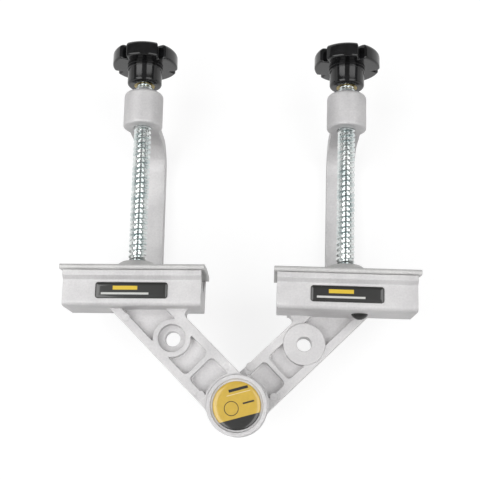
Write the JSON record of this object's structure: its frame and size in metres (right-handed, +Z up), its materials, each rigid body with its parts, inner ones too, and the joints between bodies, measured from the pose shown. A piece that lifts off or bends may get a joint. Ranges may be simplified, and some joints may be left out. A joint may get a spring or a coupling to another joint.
{
  "type": "corner clamp",
  "caption": "Adjustable corner clamp for tube welding: pivoted cast arms, fixed V jaws, and screw-driven flat jaws with star knobs.",
  "frame": {"origin": "under the middle of the whole clamp, on the plane of the spine backs that it lies on", "axes": "+X from the left clamp to the right clamp along the tubes, +Y from the pivot towards the knobs, +Z up from the bench towards the label faces"},
  "size_m": [0.1944, 0.2206, 0.068],
  "materials": {
    "cast_aluminium": "sand-cast look, fine shot-blasted satin",
    "jaw_aluminium": "shot-blasted satin with small casting pores",
    "zinc_steel": "bright zinc plating with a faint blue tint",
    "black_phenolic": "glossy moulded phenolic, matt on the flat underside",
    "brass": "turned, slightly dull",
    "steel": "turned steel",
    "black_steel": "black oxide",
    "black_label": "clear domed resin over black print",
    "yellow_label": "clear domed resin over yellow and black print"
  },
  "bodies": {
    "left_clamp": {"left_frame": "cast_aluminium", "left_jaw_label": "black_label", "pivot_label": "yellow_label", "pivot_bolt": "steel", "pivot_washer": "brass", "pivot_nut_washer": "zinc_steel", "pivot_nut": "zinc_steel"},
    "right_clamp": {"right_frame": "cast_aluminium", "right_jaw_label": "black_label", "button_head_screw": "black_steel"},
    "left_jaw": {"left_moving_jaw": "jaw_aluminium", "left_jaw_clip": "steel"},
    "right_jaw": {"right_moving_jaw": "jaw_aluminium", "right_jaw_clip": "steel"},
    "left_spindle": {"left_screw": "zinc_steel", "left_knob": "black_phenolic", "left_knob_insert": "brass"},
    "right_spindle": {"right_screw": "zinc_steel", "right_knob": "black_phenolic", "right_knob_insert": "brass"}
  },
  "joints": [
    {"name": "arm_pivot", "type": "hinge", "parent": "left_clamp", "child": "right_clamp", "pos_m": [0, -0.09414, 0.0395], "axis": [0, 0, -1], "range_deg": [-14, 178.6]},
    {"name": "left_jaw_slide", "type": "slide", "parent": "left_clamp", "child": "left_jaw", "axis": [-0.0122, 0.9999, 0], "range_m": [0, 0.07]},
    {"name": "left_screw_turn", "type": "hinge", "parent": "left_jaw", "child": "left_spindle", "pos_m": [-0.05822, 0.00515, 0.049], "axis": [-0.0122, 0.9999, 0], "range_deg": [0, 8402]},
    {"name": "right_jaw_slide", "type": "slide", "parent": "right_clamp", "child": "right_jaw", "axis": [0.0122, 0.9999, 0], "range_m": [0, 0.07]},
    {"name": "right_screw_turn", "type": "hinge", "parent": "right_jaw", "child": "right_spindle", "pos_m": [0.05822, 0.00515, 0.049], "axis": [0.0122, 0.9999, 0], "range_deg": [0, 8402]}
  ],
  "couplings": [
    {"joint": "left_screw_turn", "follows": "left_jaw_slide", "rad_per_m": 2094.4},
    {"joint": "right_screw_turn", "follows": "right_jaw_slide", "rad_per_m": 2094.4}
  ]
}
